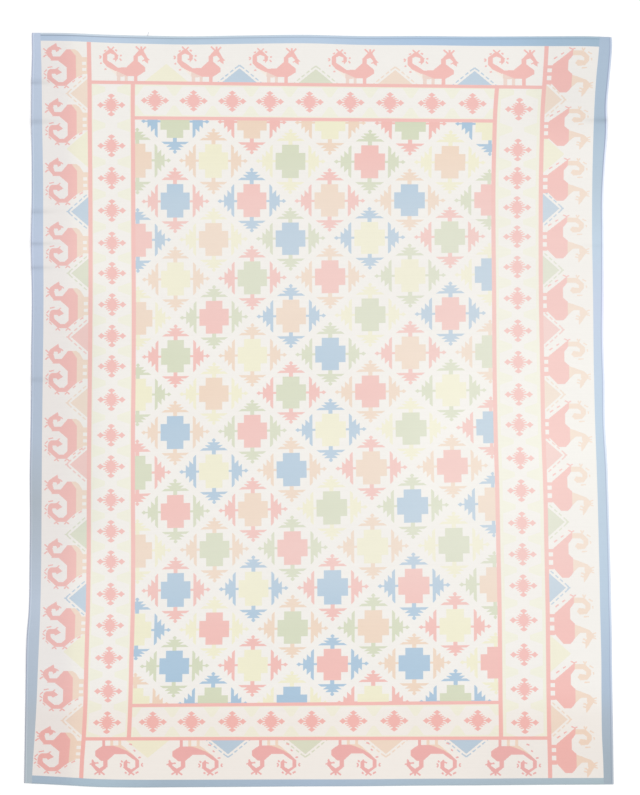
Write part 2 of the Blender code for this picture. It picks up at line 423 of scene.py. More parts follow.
def sortCells():
    # later lines lie over earlier ones, as the stripes cross on the rug
    finish = np.full(acrossZone.shape, fieldCloth)
    inner = (acrossZone >= 3) & (acrossZone <= 7) & (alongZone >= 3) & (alongZone <= 7)
    finish[inner & np.isin(alongZone, (3, 7)) & (acrossZone == 5)] = endGulCloth
    finish[inner & np.isin(alongZone, (4, 6))] = pinkCloth
    finish[inner & np.isin(acrossZone, (3, 7))] = sideGulCloth
    finish[inner & np.isin(acrossZone, (4, 6))] = pinkCloth
    finish[np.isin(alongZone, (2, 8))] = pinkCloth
    finish[alongZone == 9] = headCloth
    finish[alongZone == 1] = footCloth
    finish[np.isin(acrossZone, (2, 8))] = pinkCloth
    finish[acrossZone == 1] = leftCloth
    finish[acrossZone == 9] = rightCloth
    finish[np.isin(acrossZone, (0, 10)) | np.isin(alongZone, (0, 10))] = blueCloth
    return finish


faceFinish = sortCells().ravel()[faceCells]


# Chart coordinates of the figures, per face corner
figureMap = np.zeros((len(faceCells), 4, 2))
peakMap = np.zeros((len(faceCells), 4, 2))
firstYarn = np.ones((len(faceCells), 4, 4))
secondYarn = np.ones((len(faceCells), 4, 4))


def cornerValues(grid, faces=slice(None)):
    return grid.ravel()[faceCorners[faces]]


def nearest(places, centres):
    return np.abs(centres[:, None] - np.array(places)[None, :]).argmin(axis=1)


crestToMiddle = 16  # steps from a bird's crest back to the middle of its body


def chartBirds(end, finish, along, up, direction):
    # u = direction (along - crest) / (step stretch), v = (up / step - lift) / height,
    # and every face takes the bird and the peak that stand nearest. Yellow peaks have no dashes.
    faces = np.flatnonzero(faceFinish == finish)
    alongCorners, upCorners = cornerValues(along, faces), cornerValues(up, faces)
    centres = alongCorners.mean(axis=1)
    flock = np.array(birds[end])
    bird = nearest(flock[:, 0] * mm - direction * crestToMiddle * step, centres)
    crest, stretch, lift, height = (flock[bird, k, None] for k in range(4))
    figureMap[faces, :, 0] = direction * (alongCorners - crest * mm) / (step * stretch)
    figureMap[faces, :, 1] = (upCorners / step - lift) / height
    places, letters = zip(*peaks[end])
    places = np.array(places) * mm
    peak = nearest(places, centres)
    peakMap[faces, :, 0] = (alongCorners - places[peak, None]) / step
    peakMap[faces, :, 1] = upCorners / step
    firstYarn[faces, :, :3] = np.array([yarns[letter] for letter in letters])[peak, None, :]
    firstYarn[faces, :, 3] = np.array([letter != "Y" for letter in letters])[peak, None]


def chartGuls(end, faces, along, aside, upright):
    # distances in steps from the middle of the nearest gul, and from that of the nearest gap
    # between two guls. The along distance is u for the ends (upright 0) and v for the sides (1).
    alongCorners, asideCorners = cornerValues(along, faces), cornerValues(aside, faces)
    middles = np.sort(np.array(guls[end]) * mm)
    half = (middles[1] - middles[0]) / 2
    gaps = np.concatenate(([middles[0] - half], (middles[1:] + middles[:-1]) / 2, [middles[-1] + half]))
    for chart, places in ((figureMap, middles), (peakMap, gaps)):
        place = nearest(places, alongCorners.mean(axis=1))
        chart[faces, :, upright] = (alongCorners - places[place, None]) / step
        chart[faces, :, 1 - upright] = asideCorners / step


def chartField():
    # u = column, v = row; the medallion nearest in |du| + |dv| gives a face its two yarns
    faces = np.flatnonzero(faceFinish == fieldCloth)
    columns = cornerValues(np.broadcast_to(columnsIn[None, :], gridX.shape), faces)
    rows = cornerValues(np.broadcast_to(rowsDown[:, None], gridX.shape), faces)
    figureMap[faces, :, 0] = columns
    figureMap[faces, :, 1] = rows
    c, r = columns.mean(axis=1), rows.mean(axis=1)
    p = np.floor((c + r) / 2) + 0.5
    q = np.floor((c - r) / 2) + 0.5
    column = np.clip((p + q).astype(int), 0, columnCount - 1)
    row = np.clip((p - q).astype(int), 0, rowCount - 1)
    place = np.clip((column - (row + 1) % 2) // 2, 0, 4)  # of the five medallions in each row
    for k, layer in enumerate((firstYarn, secondYarn)):
        chart = np.array([[yarns[pair[k]] for pair in pairs.split()] for pairs in medallionYarns])
        layer[faces, :, :3] = chart[row, place][:, None, :]


lineX = sideLinesX[:, :, None]  # x of each stripe's edges, by row of the grid
lineY = endLines[:, None, :]  # y of each stripe's edges, by column of the grid
chartBirds("head", headCloth, gridX, gridY - lineY[-4], 1)
chartBirds("foot", footCloth, gridX, lineY[3] - gridY, -1)
chartBirds("left", leftCloth, gridY, lineX[3] - gridX, 1)
chartBirds("right", rightCloth, gridY, gridX - lineX[-4], -1)
isHead = cornerValues(gridY)[:, 0] > clothLength / 2
isLeft = cornerValues(gridX)[:, 0] < clothWidth / 2
isEndGul, isSideGul = faceFinish == endGulCloth, faceFinish == sideGulCloth
chartGuls("head", np.flatnonzero(isEndGul & isHead), gridX, gridY - 0.5 * (lineY[-6] + lineY[-5]), 0)
chartGuls("foot", np.flatnonzero(isEndGul & ~isHead), gridX, gridY - 0.5 * (lineY[4] + lineY[5]), 0)
chartGuls("left", np.flatnonzero(isSideGul & isLeft), gridY, gridX - 0.5 * (lineX[4] + lineX[5]), 1)
chartGuls("right", np.flatnonzero(isSideGul & ~isLeft), gridY, gridX - 0.5 * (lineX[-6] + lineX[-5]), 1)
chartField()
print("figures charted")


def areaShare(position, low, high, softness):
    # (1 + tanh((x - low) / s)) (1 + tanh((high - x) / s)) / 4
    return 0.25 * (1 + np.tanh((position - low) / softness)) * (1 + np.tanh((high - position) / softness))


def readGains(table, firstColumn, places):
    # red, green and blue gains of a table
    return np.stack([readLine(table, firstColumn + k, places) for k in range(3)], axis=-1)


def clothTint():
    # product of areas (painted light and shade along with fading), the painted shade of creases and, in
    # the blue bands, their own tones, pale cords and the painted shade of rolls and grooves, with the
    # strength of the dyes as the fourth part
    tint = np.ones(gridX.shape + (3,))
    # broad painted light and shade, along with fading and soil
    for x0, x1, y0, y1, softness, *gains in wearAndShade["areas"]:
        share = areaShare(gridX, x0, x1, softness) * areaShare(gridY, y0, y1, softness)
        tint *= 1 + share[..., None] * (np.array(gains) - 1)
    # painted shade along each crease
    for side, middle, halfWidth, peak in cloth["creases"]:
        hump = np.exp(-((gridY - middle) / (wearAndShade["creaseShadeWidth"] * halfWidth)) ** 2)
        fade = np.exp(-(inFrom(side) / wearAndShade["creaseReach"]) ** 2)
        tint *= 1 - wearAndShade["creaseShade"] * peak * (hump * fade)[..., None]
    leftTone, rightTone = [readGains(wearAndShade["blueSides"], k, heights)[:, None, :] for k in (1, 4)]
    headTone, footTone = [readGains(wearAndShade["blueEnds"], k, acrosses)[None, :, :] for k in (1, 4)]
    sides = np.where((acrosses < clothWidth / 2)[None, :, None], leftTone, rightTone)
    ends = np.where((heights < clothLength / 2)[:, None, None], footTone, headTone)
    # pale cords, and the painted shade of the edges' rolls and grooves
    left = readGains(wearAndShade["leftCordAndShade"], 1, (acrosses - acrosses[0]) / mm)[None, :, :]
    right = readGains(wearAndShade["rightCordAndShade"], 1, (acrosses[-1] - acrosses) / mm)[None, :, :]
    head = readGains(wearAndShade["headCordAndShade"], 1, (heights[-1] - heights) / mm)[:, None, :]
    foot = readGains(wearAndShade["footRollShade"], 1, (heights - heights[0]) / mm)[:, None, :]
    headShow = readLine(wearAndShade["headShow"], 1, acrosses)[None, :, None]
    rightShow = readLine(wearAndShade["rightShow"], 1, heights)[:, None, None]
    sides = sides * left * (1 + rightShow * (right - 1))
    ends = ends * foot * (1 + headShow * (head - 1))
    corners = np.ones((len(faceCorners), 4, 4))
    corners[:, :, :3] = tint.reshape(-1, 3)[faceCorners]
    isBlue = faceFinish == blueCloth
    isSide = np.isin(acrossZone, (0, 10)).ravel()[faceCells]
    for faces, tones in ((isBlue & isSide, sides), (isBlue & ~isSide, ends)):
        corners[faces, :, :3] *= tones.reshape(-1, 3)[faceCorners[faces]]
    corners[:, :, 3] = dyeStrength()
    return corners


def dyeStrength():
    # straight from the left value to the right one: (1 - s) left + s right, s the share across
    share = cornerValues(gridX / clothWidth)
    fieldShare = np.clip(wearAndShade["fieldSlope"] * (share - 0.5) + 0.5, 0, 1)
    down = cornerValues(np.broadcast_to(rowsDown[:, None], gridX.shape))
    up = cornerValues(gridY)
    field, border = [
        (1 - s) * readLine(wearAndShade[name], 1, places) + s * readLine(wearAndShade[name], 2, places)
        for name, places, s in (("fieldStrength", down, fieldShare), ("borderStrength", up, share))]
    isField, isBlue = (faceFinish == fieldCloth)[:, None], (faceFinish == blueCloth)[:, None]
    return np.where(isField, field, np.where(isBlue, 1.0, border))


def addObject(name, data):
    added = bpy.data.objects.new(name, data)
    bpy.context.scene.collection.objects.link(added)
    return added


def addPiece(name, points, faces):
    mesh = bpy.data.meshes.new(name)
    mesh.from_pydata(points, [], faces)
    return addObject(name, mesh)


def buildCloth():
    # points (x, y, top) and then (x, y, underside) over the grid
    points = [np.stack((gridX - clothWidth / 2, gridY - clothLength / 2, z), axis=-1).reshape(-1, 3)
              for z in (gridTop, gridUnder)]
    piece = addPiece("rugCloth", np.concatenate(points).tolist(), faceVertices.tolist())
    mesh = piece.data
    for name, values in (("figure", figureMap), ("peak", peakMap)):
        layer = mesh.uv_layers.new(name=name)
        layer.uv.foreach_set("vector", values.astype(np.float32).ravel())
    for name, values in (("firstYarn", firstYarn), ("secondYarn", secondYarn), ("tint", clothTint())):
        layer = mesh.attributes.new(name, "FLOAT_COLOR", "CORNER")
        layer.data.foreach_set("color", values.astype(np.float32).ravel())
    mesh.polygons.foreach_set("material_index", faceFinish.astype(np.int32))
    mesh.polygons.foreach_set("use_smooth", np.ones(len(faceCells), dtype=bool))
    mesh.update()
    return piece


rugCloth = buildCloth()
print(f"cloth built: {len(rugCloth.data.polygons)} faces")


# How every part of the cloth is woven
weave = {
    "warpPitch": 3.2,  # mm from one warp to the next
    "weftPitch": 1.6,
    "relief": 0.5,  # mm
    "reliefStrength": 0.5,
    "roughness": 0.92,
    "gloss": 0.25,
    "tone": 0.955,  # before mottle and streaks are added
    "mottle": (0.05, 2.6, 3.0),  # share, scale, detail
    "streaks": (0.04, 1.0, 2.0),
    "streakStretch": (3.0, 150.0, 1.0),
    # steps across and up one thread crossing, in the charts of the ends and of the sides
    "endThread": (0.5, 0.35),
    "sideThread": (0.35, 0.5),
    # the same in a folded chart, and the middle of a crossing there
    "foldedThread": (0.5, 0.35),
    "foldedMiddle": (0.25, 0.17),
}


def feed(tree, socket, value):
    if isinstance(value, bpy.types.NodeSocket):
        tree.links.new(value, socket)
    elif value is not None:
        socket.default_value = value


def addNode(tree, kind, inputs={}, **settings):
    node = tree.nodes.new(kind)
    for name, value in settings.items():
        setattr(node, name, value)
    for socket, value in inputs.items():
        feed(tree, node.inputs[socket], value)
    return node


def mathNode(tree, operation, *values):
    return addNode(tree, "ShaderNodeMath", dict(enumerate(values)), operation=operation).outputs[0]


def vectorNode(tree, operation, *values):
    node = addNode(tree, "ShaderNodeVectorMath", dict(enumerate(values)), operation=operation)
    return node.outputs["Value" if operation == "DOT_PRODUCT" else "Vector"]


def scaled(tree, vector, factor):
    return vectorNode(tree, "SCALE", vector, None, None, factor)


def mixColours(tree, amount, under, over):
    under, over = [
        colour if isinstance(colour, bpy.types.NodeSocket) else (*colour, 1)
        for colour in (under, over)]
    return addNode(tree, "ShaderNodeMix", {0: amount, 6: under, 7: over}, data_type="RGBA").outputs[2]


def chartPoint(tree, mapName):
    return addNode(tree, "ShaderNodeUVMap", uv_map=mapName).outputs[0]


def readAttribute(tree, name):
    return addNode(tree, "ShaderNodeAttribute", attribute_name=name).outputs


def wovenPoint(tree, mapName, thread):
    # the chart point, moved to the middle of its thread crossing, with 1 as its third part
    snapped = vectorNode(tree, "SNAP", chartPoint(tree, mapName), (*thread, 1))
    return vectorNode(tree, "ADD", snapped, (thread[0] / 2, thread[1] / 2, 1))


def foldedPoint(tree, offsets):
    # distances from a figure's middle, moved to the middle of their thread crossing
    snapped = vectorNode(tree, "SNAP", vectorNode(tree, "ABSOLUTE", offsets), (*weave["foldedThread"], 1))
    return vectorNode(tree, "ADD", snapped, (*weave["foldedMiddle"], 1))


def patch(tree, point, corners):
    # depth inside a convex patch: the least of n . (p - a) over its sides, corners anticlockwise
    depth = None
    for (x0, y0), (x1, y1) in zip(corners, corners[1:] + corners[:1]):
        reach = np.hypot(x1 - x0, y1 - y0)
        nx, ny = (y0 - y1) / reach, (x1 - x0) / reach
        side = vectorNode(tree, "DOT_PRODUCT", point, (nx, ny, -nx * x0 - ny * y0))
        depth = side if depth is None else mathNode(tree, "MINIMUM", depth, side)
    return depth


def patches(tree, point, shapes):
    # 1 inside any of the shapes, else 0
    depth = None
    for corners in shapes:
        one = patch(tree, point, corners)
        depth = one if depth is None else mathNode(tree, "MAXIMUM", depth, one)
    return mathNode(tree, "GREATER_THAN", depth, 0)


def block(x0, y0, x1, y1):
    # corners of an upright rectangle
    return (x0, y0), (x1, y0), (x1, y1), (x0, y1)


def dash(x0, y0, x1, y1, width):
    # corners of a straight dash of that width
    reach = np.hypot(x1 - x0, y1 - y0)
    ox, oy = (y1 - y0) / reach * width / 2, (x0 - x1) / reach * width / 2
    return (x0 + ox, y0 + oy), (x1 + ox, y1 + oy), (x1 - ox, y1 - oy), (x0 - ox, y0 - oy)


def startMaterial(name):
    material = bpy.data.materials.new(name)
    material.use_nodes = True
    material.node_tree.nodes.clear()
    return material, material.node_tree


def addShader(tree, inputs):
    shader = addNode(tree, "ShaderNodeBsdfPrincipled", inputs)
    addNode(tree, "ShaderNodeOutputMaterial", {"Surface": shader.outputs[0]})


def addNoise(tree, tone, place, share, scale, detail):
    # tone + share x noise
    noise = addNode(tree, "ShaderNodeTexNoise", {"Vector": place, "Scale": scale, "Detail": detail})
    return mathNode(tree, "MULTIPLY_ADD", noise.outputs[0], share, tone)


def finishWeave(tree, colour):
    # (white + strength x (colour - white)) x tint x (broad tone + weft streaks), and a plain
    # weave's relief, |sin(pi x / warp pitch) sin(pi y / weft pitch)|
    place = addNode(tree, "ShaderNodeTexCoord").outputs["Object"]
    stretched = vectorNode(tree, "MULTIPLY", place, weave["streakStretch"])
    tone = addNoise(tree, weave["tone"], place, *weave["mottle"])
    tone = addNoise(tree, tone, stretched, *weave["streaks"])
    # the tint carries wear, with light and shade painted in
    tint = readAttribute(tree, "tint")
    dye = scaled(tree, vectorNode(tree, "SUBTRACT", colour, yarns["white"]), tint["Alpha"])
    faded = vectorNode(tree, "MULTIPLY", vectorNode(tree, "ADD", dye, yarns["white"]), tint["Color"])
    axes = addNode(tree, "ShaderNodeSeparateXYZ", {0: place})
    warp, weft = [
        mathNode(tree, "SINE", mathNode(tree, "MULTIPLY", axis, np.pi / (weave[pitch] * mm)))
        for axis, pitch in zip(axes.outputs, ("warpPitch", "weftPitch"))]
    bump = addNode(tree, "ShaderNodeBump", {
        "Strength": weave["reliefStrength"],
        "Distance": weave["relief"] * mm,
        "Height": mathNode(tree, "ABSOLUTE", mathNode(tree, "MULTIPLY", warp, weft)),
    })
    addShader(tree, {
        "Base Color": scaled(tree, faded, tone),
        "Roughness": weave["roughness"],
        "Specular IOR Level": weave["gloss"],
        "Normal": bump.outputs[0],
    })


def weavePlain(name, yarn):
    material, tree = startMaterial(name)
    finishWeave(tree, yarns[yarn])
    return material


# The triangles between two birds, in steps
peakEdge = {
    "growth": 2.8,  # how much larger one without dashes is
    "dashes": 3.6,  # dashes along a slope, where the first starts, and how much of the way they fill
    "dashStart": 0.02,
    "dashFill": 0.62,
    "dashGap": 2.6,  # from the slope to the middle of a dash
    "dashHalf": 0.65,
    "arrow": (0, 3.1, 2.8, 0.9, 1.5),  # one half of it, from the top of the triangle
}


def peakPatches(tree, halfBase, height, thread, dashShare):
    # the stepped triangle, with dashes along both slopes and an arrow on top
    folded = vectorNode(tree, "ABSOLUTE", wovenPoint(tree, "peak", thread))
    slope = np.hypot(halfBase, height)
    nx, ny = height / slope, halfBase / slope
    over = vectorNode(tree, "DOT_PRODUCT", folded, (nx, ny, -nx * halfBase))
    reach = mathNode(tree, "MULTIPLY_ADD", dashShare, -peakEdge["growth"], peakEdge["growth"])
    body = mathNode(tree, "LESS_THAN", over, reach)
    along = vectorNode(tree, "DOT_PRODUCT", folded, (-ny, nx, ny * halfBase))
    beats = mathNode(tree, "MULTIPLY_ADD", along, peakEdge["dashes"] / slope, peakEdge["dashStart"])
    beat = mathNode(tree, "FRACT", beats)
    dashes = mathNode(tree, "MULTIPLY",
                      mathNode(tree, "LESS_THAN", beat, peakEdge["dashFill"]),
                      mathNode(tree, "COMPARE", over, peakEdge["dashGap"], peakEdge["dashHalf"]))
    x0, y0, x1, y1, width = peakEdge["arrow"]
    arrow = patches(tree, folded, [dash(x0, height + y0, x1, height + y1, width)])
    edge = mathNode(tree, "MULTIPLY", mathNode(tree, "MAXIMUM", dashes, arrow), dashShare)
    return mathNode(tree, "MAXIMUM", body, edge)


def weaveBirds(name, bird, thread):
    # white ground, triangles in their own yarn, then the bird's parts in their order
    material, tree = startMaterial(name)
    peakYarn = readAttribute(tree, "firstYarn")
    peak = peakPatches(tree, *bird["peak"], thread, peakYarn["Alpha"])
    colour = mixColours(tree, peak, yarns["white"], peakYarn["Color"])
    point = wovenPoint(tree, "figure", thread)
    for part in bird["order"]:
        shapes = [*bird[part], *(dash(*stroke) for stroke in bird.get(part + "Dashes", ()))]
        colour = mixColours(tree, patches(tree, point, shapes), colour, yarns[bird["yarns"][part]])
    finishWeave(tree, colour)
    return material


# A bird faces right with its feet on the stripe: u from its crest, v up from the stripe, in steps.
headBird = {
    "yarns": {"under": "palePink", "tail": "cream", "body": "coral"},
    "order": ("under", "tail", "body"),
    "peak": (17.1, 13.9),
    "under": (
        ((-26, 12), (-26, 5.8), (-24.5, 4.4), (-13.5, 5), (-13.5, 10)), block(-25.2, -3, -21.4, 6),
        block(-17.0, -3, -13.8, 6),
    ),
    "tail": (
        ((-36.3, 15.5), (-25.4, 5.2), (-25.4, 12), (-30, 15)),
    ),
    "body": (
        block(-7.3, -3, -4.2, 6),
        ((-15.2, 5.4), (-3.5, 5.4), (3.9, 10), (3.9, 14), (-3.2, 19.6), (-8.4, 20), (-15.2, 14)),
        ((-26, 10.3), (-15, 5.4), (-15, 13.6), (-25, 13.4)),
        ((-35.3, 14.2), (-26.5, 9.8), (-24.5, 13.6), (-34.8, 20.4), (-39.5, 18.7)),
        ((-39.5, 18.6), (-34.8, 20), (-34.8, 26.6), (-39.5, 26.4)),
        ((-39.5, 26.2), (-34.8, 26), (-31.5, 27.3), (-31.5, 31.4), (-33.4, 31)),
        ((-31.5, 27.2), (-28, 25.8), (-23.8, 25.4), (-29.2, 30.8), (-31.5, 31.4)),
        ((-27.3, 21.4), (-26.7, 19.1), (-24.2, 21.8), (-23.6, 25.8), (-27.4, 26.2)),
        ((-8.2, 18.5), (-3.7, 18.5), (-3.7, 25.4), (-8.2, 25)),
        ((-8.2, 24.3), (-3.7, 24.3), (0, 25.8), (0, 31.4), (-2.2, 30.8)),
        ((0, 25.8), (3.0, 22.8), (6.8, 22.6), (1.8, 30.8), (0, 31.4)),
        ((2.7, 21.4), (3.6, 19.8), (6.0, 18.2), (6.6, 20), (7.0, 23), (3.0, 23)),
        ((5, 19.5), (7.0, 17.2), (6.8, 20.4)), ((6.2, 20.4), (8.7, 21.3), (6.4, 22.8)),
    ),
    "bodyDashes": (
        (3.3, 21, 0.9, 20.2, 1.2), (-1.2, 30.4, -5.7, 34.3, 1.7), (0, 30.6, 0, 34.4, 2.0),
        (1.2, 30.4, 4.5, 33.9, 1.7), (-26.6, 21.6, -29.2, 21.6, 1.4), (-31.2, 30.8, -34.8, 33.8, 1.5),
        (-30.8, 30.8, -28.2, 33.6, 1.5), (-27, 30.9, -25, 29.6, 1.5), (-38.2, 29.2, -36, 30, 1.4),
        (-43.0, 25.0, -41.2, 23.4, 1.5), (-43.0, 22.2, -41.2, 23.4, 1.5), (-42.4, 17, -40.8, 17.8, 1.6),
        (-37.8, 11.4, -35.8, 12.0, 1.5), (-22.3, 22.2, -20.4, 20.2, 1.5), (-21.4, 26.0, -20.6, 24.4, 1.9),
    ),
}
footBird = {
    "yarns": {"under": "peach", "body": "footCoral"},
    "order": ("under", "body"),
    "peak": (17.1, 13.9),
    "under": (
        ((-37.5, 15.5), (-30, 9.6), (-24, 5.0), (-13, 4.8), (-13, 8), (-33, 15)),
        block(-23.0, -3, -19.8, 6), block(-14.5, -3, -11.5, 6),
    ),
    "body": (
        block(-5.9, -3, -2.8, 6),
        ((-15.2, 5.4), (-3, 5.4), (4.6, 10.3), (4.6, 15.2), (-1.8, 20.4), (-8.3, 20), (-15.6, 14)),
        ((-30, 10.8), (-20, 6.8), (-15, 5.4), (-15, 13.8), (-30, 13.8)),
        ((-41.8, 19.8), (-37.0, 15.6), (-29.8, 10.8), (-28.6, 13.8), (-37.6, 20)),
        block(-41.8, 19.6, -38.2, 27), ((-41.8, 26.6), (-38.2, 26.4), (-33.4, 29), (-33.4, 32.6)),
        ((-33.6, 28.8), (-29.6, 26.6), (-25.2, 27.2), (-31.5, 32.4), (-33.6, 32.6)),
        ((-29.5, 20.4), (-28.6, 19.0), (-25.6, 21.6), (-25.2, 27.4), (-29.6, 27)),
        ((-8.6, 18.5), (-4, 19.5), (-4, 27), (-8.6, 26.4)),
        ((-8.6, 26), (-4, 25.4), (0, 27.8), (0, 32), (-2.4, 31)),
        ((0, 27.8), (4.8, 24.4), (8.6, 24.6), (3.6, 30.4), (0, 32)),
        ((4.8, 21.8), (7.6, 19.2), (8.8, 23.8), (8.4, 25.4), (4.6, 25.4)),
        ((6.2, 19.8), (8.0, 18.4), (8.4, 21)),
    ),
    "bodyDashes": (
        (5.2, 22.6, 1.2, 22.2, 1.6), (8.4, 23.2, 10.4, 23.6, 1.2), (-1.2, 31.2, -5.4, 34, 1.6),
        (0, 31, -0.2, 34.4, 2.0), (1.2, 31.2, 5.4, 33.6, 1.6), (-29.6, 21.6, -32.2, 22.4, 1.3),
        (-33.8, 32.2, -36.8, 34.4, 1.6), (-33.2, 32.2, -30.6, 34.5, 1.6), (-28.8, 32.8, -26.9, 31.6, 1.7),
        (-41.2, 31.2, -38.2, 32.8, 1.7), (-45.9, 26.0, -44.2, 24.4, 1.5), (-45.9, 22.8, -44.2, 24.4, 1.5),
        (-43.8, 16.8, -41.0, 17.2, 1.5), (-38.0, 10.8, -36.0, 9.6, 1.5), (-34.4, 4.2, -31.4, 3.4, 1.4),
        (-24.6, 21.6, -22.8, 20.2, 1.6), (-21.8, 26.4, -23.6, 24.6, 1.5), (-21.8, 22.8, -23.6, 24.6, 1.5),
    ),
}
leftBird = {
    "yarns": {"under": "peach", "body": "coral", "window": "white"},
    "order": ("under", "window", "body"),
    "peak": (14.7, 17.0),
    "under": (
        ((-24.9, 4), (-4.4, 4), (1.8, 7.6), (4, 11), (4, 15.3), (-10, 15), (-28.6, 11)),
        block(-23.8, -3, -5, 4.2),
    ),
    "window": (
        block(-20.4, 0, -17.0, 4.0), block(-13.6, 0, -10.2, 4.0),
    ),
    "body": (
        ((-16, 10), (-3.6, 10), (4, 15.2), (4, 18.8), (-4.2, 25.2), (-9, 27), (-16, 19.3)),
        ((-28, 10), (-16, 10), (-16, 19.2), (-36.4, 19.2)),
        ((-36.6, 19), (-29.3, 19), (-33, 22.8), (-37, 23)),
        ((-37, 20), (-33, 20), (-33, 27.5), (-37, 29.6)),
        ((-37, 29.4), (-33, 27), (-27.4, 33.2), (-27.4, 38.2), (-29, 38)),
        ((-27.5, 33.2), (-21.8, 33.4), (-18.4, 35.6), (-20.6, 37.6), (-27.5, 38.2)),
        ((-23.4, 30.6), (-21, 28), (-18, 29.5), (-18.2, 35), (-20, 36.6), (-23.4, 34)),
        ((-25, 28.6), (-22, 23.6), (-18.8, 27), (-17.6, 30), (-22.4, 31.2)),
        ((-8.8, 24), (-4.2, 24), (-4.2, 33.5), (-8.8, 34.3)),
        ((-8.8, 33), (-4.4, 32), (0, 33.3), (0, 38.6), (-2.6, 38)),
        ((-0.5, 33.3), (8, 33), (5.2, 36.9), (2.4, 38.4), (-0.5, 38.8)),
        ((3.1, 27.2), (10.9, 28.5), (7.8, 33.4), (3.1, 33.6)),
        ((0.7, 28.9), (2, 26.5), (4.5, 25.2), (6.5, 26.5), (7.6, 28.8), (3, 29.4)),
    ),
    "bodyDashes": (
        (6.2, 26.4, 3.8, 23.7, 1.2), (-2.2, 38.4, -4.8, 41.4, 1.4), (0, 38, 0, 40, 1.6),
        (2.4, 38.4, 4.8, 41.4, 1.4), (-18.8, 29, -16.2, 26.6, 1.3), (-37.2, 29.6, -39.3, 31.8, 1.3),
        (-37.2, 29.6, -39.6, 27.4, 1.3), (-37.2, 19.5, -39.6, 21.6, 1.3), (-37.2, 19.5, -39.4, 17, 1.3),
        (-28.9, 41.2, -27.2, 39, 1.2), (-23, 41.2, -25.4, 38.6, 1.2), (-21.6, 40.8, -19.0, 38.2, 1.2),
        (-33.6, 35.6, -30.6, 37.8, 1.2), (-16.6, 37.4, -15.6, 32.8, 1.3), (-33, 13.6, -31, 11.2, 1.3),
        (-28.2, 7.6, -26.2, 4.4, 1.3),
    ),
}
rightBird = {
    "yarns": {"body": "coral", "window": "white", "under": "peach"},
    "order": ("body", "window", "under"),
    "peak": (14.7, 16.5),
    "body": (
        ((-15, 5), (-1.6, 5), (7.4, 13.6), (7.4, 20.2), (5, 23), (1.8, 25.2), (-11, 25.2), (-15, 20.8)),
        ((-20.6, 5), (-15, 5), (-15, 20.6), (-33.2, 20.6)),
        ((-33.4, 20.6), (-25, 20.6), (-30, 24.5), (-36.4, 24.5)), block(-19.8, -3, -0.8, 5.2),
    ),
    "bodyDashes": (
        (-37.4, 26.6, -36, 24, 1.2), (-36, 24.4, -37.8, 20.4, 1.2), (-32.8, 15.6, -31, 12.8, 1.3),
        (-28.6, 9, -26.4, 5.8, 1.3),
    ),
    "window": (
        block(-16.8, 0.2, -12.9, 4.4), block(-9.3, 0.2, -4.8, 4.4),
    ),
    "under": (
        ((-35.2, 24.4), (-30.2, 24.4), (-30.2, 33), (-35, 35)),
        ((-35.2, 34.6), (-30.4, 32.6), (-27.6, 36.2), (-27.6, 41), (-29.4, 40.8)),
        ((-27.8, 36.2), (-24.6, 36), (-20.4, 37.4), (-24.6, 40.9), (-27.8, 41)),
        ((-25.6, 29.4), (-22.4, 27.2), (-19.4, 30.2), (-20.2, 37.8), (-24.8, 36.8)),
        ((-10.6, 25), (2.2, 25), (-2.6, 30.2), (-8.4, 30.6)),
        ((-9, 29.6), (-2.6, 29.6), (-2.8, 38.6), (-5.3, 39.8)),
        ((-5.3, 39.8), (-2.8, 36.6), (2.6, 36.8), (5, 40.6), (0.9, 44.2), (-1.2, 44)),
        ((2.6, 37), (4, 35.2), (12, 35.8), (8, 39), (4.8, 41)),
    ),
    "underDashes": (
        (3.4, 35.6, 3, 32.8, 1.6), (6.6, 35.6, 5.6, 32.4, 1.3), (-2, 43.6, -2.8, 46.4, 1.2),
        (0.2, 43.6, 0.2, 46.2, 1.1), (1.8, 43.6, 2.7, 46.4, 1.2), (-35, 34.9, -37.8, 36.4, 1.3),
        (-35, 34.9, -37.8, 33.2, 1.3), (-33.6, 39.4, -31.5, 43.2, 1.2), (-27.4, 43.2, -24.8, 43.4, 1.1),
        (-17.7, 39.4, -17.4, 33.8, 1.2),
    ),
}


def weaveField(name):
    # the lattice: p = floor((c + r) / 2) + 1/2 and q = floor((c - r) / 2) + 1/2 find the medallion
    material, tree = startMaterial(name)
    uv = chartPoint(tree, "figure")
    sums = [vectorNode(tree, "DOT_PRODUCT", uv, halves) for halves in ((0.5, 0.5, 0), (0.5, -0.5, 0))]
    p, q = [mathNode(tree, "ADD", mathNode(tree, "FLOOR", total), 0.5) for total in sums]
    column, row = mathNode(tree, "ADD", p, q), mathNode(tree, "SUBTRACT", p, q)
    middle = addNode(tree, "ShaderNodeCombineXYZ", {0: column, 1: row})
    offset = vectorNode(tree, "SUBTRACT", uv, middle.outputs[0])
    point = foldedPoint(tree, vectorNode(tree, "MULTIPLY", offset, (*medallion["spacing"], 1)))
    colour = yarns["white"]
    for part, layer in (("teeth", "secondYarn"), ("cross", "firstYarn")):
        inside = patches(tree, point, medallion[part])
        colour = mixColours(tree, inside, colour, readAttribute(tree, layer)["Color"])
    finishWeave(tree, colour)
    return material


